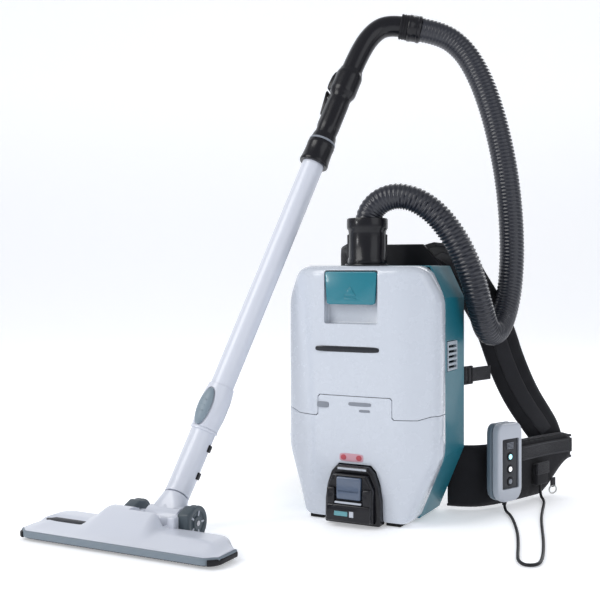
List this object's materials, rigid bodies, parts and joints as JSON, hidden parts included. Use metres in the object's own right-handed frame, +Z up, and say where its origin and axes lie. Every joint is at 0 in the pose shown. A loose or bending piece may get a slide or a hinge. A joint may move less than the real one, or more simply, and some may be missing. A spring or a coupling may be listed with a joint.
{
  "type": "backpack vacuum cleaner",
  "caption": "Cordless backpack vacuum cleaner with hinged front lid, harness, waist belt, ribbed suction hose, wand, swivelling floor nozzle and wired hand control.",
  "frame": {"origin": "centre of the body's base, on the floor under the battery tunnel", "axes": "+Z up, -Y out of the front face, +Y towards the wearer, +X to the right of someone who faces the front"},
  "size_m": [0.7137, 0.718, 0.8385],
  "materials": {
    "casing_white": "gloss",
    "casing_teal": "satin",
    "latch_teal": "gloss",
    "black_plastic": "gloss",
    "grey_plastic": "satin",
    "light_grey_plastic": "satin",
    "hose_grey": "satin",
    "harness_fabric": "woven",
    "webbing": "woven",
    "rubber": "matte",
    "bag_fabric": "felt",
    "filter_media": "pleated",
    "motor_steel": "satin",
    "pin_steel": "satin",
    "board_green": "matte",
    "bristle": "matte",
    "cable_rubber": "satin"
  },
  "bodies": {
    "vacuum": {"main_housing": "casing_teal", "lower_front_cover": "casing_white", "vent_grilles": "light_grey_plastic", "base_feet": "rubber", "battery_bay": "black_plastic", "inlet_port": "black_plastic", "bag_collar": "grey_plastic", "dust_bag": "bag_fabric", "partition_shelf": "grey_plastic", "motor_filter": "filter_media", "motor_can": "black_plastic", "motor_core": "motor_steel", "control_board": "board_green", "back_frame": "black_plastic", "back_pad": "harness_fabric", "lumbar_pad": "harness_fabric", "waist_belt_right": "harness_fabric", "waist_belt_left": "harness_fabric", "belt_webbing": "webbing", "belt_pockets": "harness_fabric", "shoulder_strap_right": "harness_fabric", "shoulder_strap_left": "harness_fabric", "stabiliser_straps": "webbing", "wand_pipe": "casing_white", "wand_socket": "casing_white", "wand_coupler": "black_plastic", "handle_sleeve": "black_plastic", "grip_pipe": "black_plastic", "suction_hose": "hose_grey", "elbow_tube": "casing_white", "remote_front": "light_grey_plastic", "remote_back": "grey_plastic", "remote_panel": "black_plastic", "strain_relief": "cable_rubber", "remote_cable": "cable_rubber", "frame_screws": "pin_steel"},
    "lid": {"front_lid": "casing_white", "lid_gasket": "rubber", "latch_pin": "pin_steel"},
    "latch": {"lid_latch": "latch_teal"},
    "battery": {"battery_pack": "black_plastic"},
    "battery_release": {"battery_button": "grey_plastic"},
    "cuff": {"inlet_cuff": "black_plastic"},
    "hose_cuff": {"hose_end_cuff": "black_plastic"},
    "regulator": {"air_regulator": "black_plastic"},
    "handle_lock": {"coupler_lever": "black_plastic"},
    "wand_release": {"wand_release_button": "grey_plastic"},
    "fan": {"fan_impeller": "light_grey_plastic", "motor_shaft": "pin_steel"},
    "button_1": {"remote_button_1": "light_grey_plastic"},
    "button_2": {"remote_button_2": "light_grey_plastic"},
    "button_3": {"remote_button_3": "light_grey_plastic"},
    "neck": {"neck_barrel": "casing_white"},
    "nozzle": {"nozzle_top": "casing_white", "nozzle_sole": "grey_plastic", "brush_strips": "bristle", "nozzle_bumper": "grey_plastic", "wheel_axle": "pin_steel"},
    "left_wheel": {"wheel_left": "grey_plastic"},
    "right_wheel": {"wheel_right": "grey_plastic"}
  },
  "joints": [
    {"name": "lid_hinge", "type": "hinge", "parent": "vacuum", "child": "lid", "pos_m": [0, -0.062, 0.17], "axis": [1, 0, 0], "range_deg": [0, 85]},
    {"name": "latch_pivot", "type": "hinge", "parent": "lid", "child": "latch", "pos_m": [-0.006, -0.061, 0.384], "axis": [-1, 0, 0], "range_deg": [0, 30], "stiffness_Nm_per_rad": 0.4},
    {"name": "battery_slide", "type": "slide", "parent": "vacuum", "child": "battery", "axis": [0, -1, 0], "range_m": [0, 0.13]},
    {"name": "battery_button_press", "type": "slide", "parent": "battery", "child": "battery_release", "axis": [0, 1, 0], "range_m": [0, 0.003], "stiffness_N_per_m": 600},
    {"name": "inlet_swivel", "type": "hinge", "parent": "vacuum", "child": "cuff", "pos_m": [-0.005, -0.005, 0.43], "axis": [0, 0, 1], "continuous": true},
    {"name": "hose_end_swivel", "type": "hinge", "parent": "vacuum", "child": "hose_cuff", "pos_m": [-0.008, 0.146, 0.817], "axis": [0.9151, 0.3551, -0.1912], "continuous": true},
    {"name": "regulator_turn", "type": "hinge", "parent": "vacuum", "child": "regulator", "pos_m": [-0.008, 0.146, 0.817], "axis": [0.9151, 0.3551, -0.1912], "range_deg": [-30, 30]},
    {"name": "handle_lock_pivot", "type": "hinge", "parent": "vacuum", "child": "handle_lock", "pos_m": [-0.11371, 0.07121, 0.697], "axis": [0, 0.9092, -0.4165], "range_deg": [0, 20], "stiffness_Nm_per_rad": 0.3},
    {"name": "wand_release_press", "type": "slide", "parent": "vacuum", "child": "wand_release", "axis": [0.1026, 0.8958, -0.4325], "range_m": [0, 0.002], "stiffness_N_per_m": 800},
    {"name": "fan_spin", "type": "hinge", "parent": "vacuum", "child": "fan", "pos_m": [0, 0.027, 0.12], "axis": [0, 0, 1], "continuous": true},
    {"name": "remote_press_1", "type": "slide", "parent": "vacuum", "child": "button_1", "axis": [-0.9092, 0.4163, 0], "range_m": [0, 0.001], "stiffness_N_per_m": 500},
    {"name": "remote_press_2", "type": "slide", "parent": "vacuum", "child": "button_2", "axis": [-0.9092, 0.4163, 0], "range_m": [0, 0.001], "stiffness_N_per_m": 500},
    {"name": "remote_press_3", "type": "slide", "parent": "vacuum", "child": "button_3", "axis": [-0.9092, 0.4163, 0], "range_m": [0, 0.001], "stiffness_N_per_m": 500},
    {"name": "neck_twist", "type": "hinge", "parent": "vacuum", "child": "neck", "pos_m": [-0.219, -0.216, 0.07], "axis": [0, 0.6823, 0.7311], "range_deg": [-45, 45]},
    {"name": "nozzle_pitch", "type": "hinge", "parent": "neck", "child": "nozzle", "pos_m": [-0.219, -0.258, 0.025], "axis": [1, 0, 0], "range_deg": [-30, 40]},
    {"name": "left_wheel_spin", "type": "hinge", "parent": "nozzle", "child": "left_wheel", "pos_m": [-0.269, -0.258, 0.025], "axis": [1, 0, 0], "continuous": true},
    {"name": "right_wheel_spin", "type": "hinge", "parent": "nozzle", "child": "right_wheel", "pos_m": [-0.169, -0.258, 0.025], "axis": [1, 0, 0], "continuous": true}
  ]
}
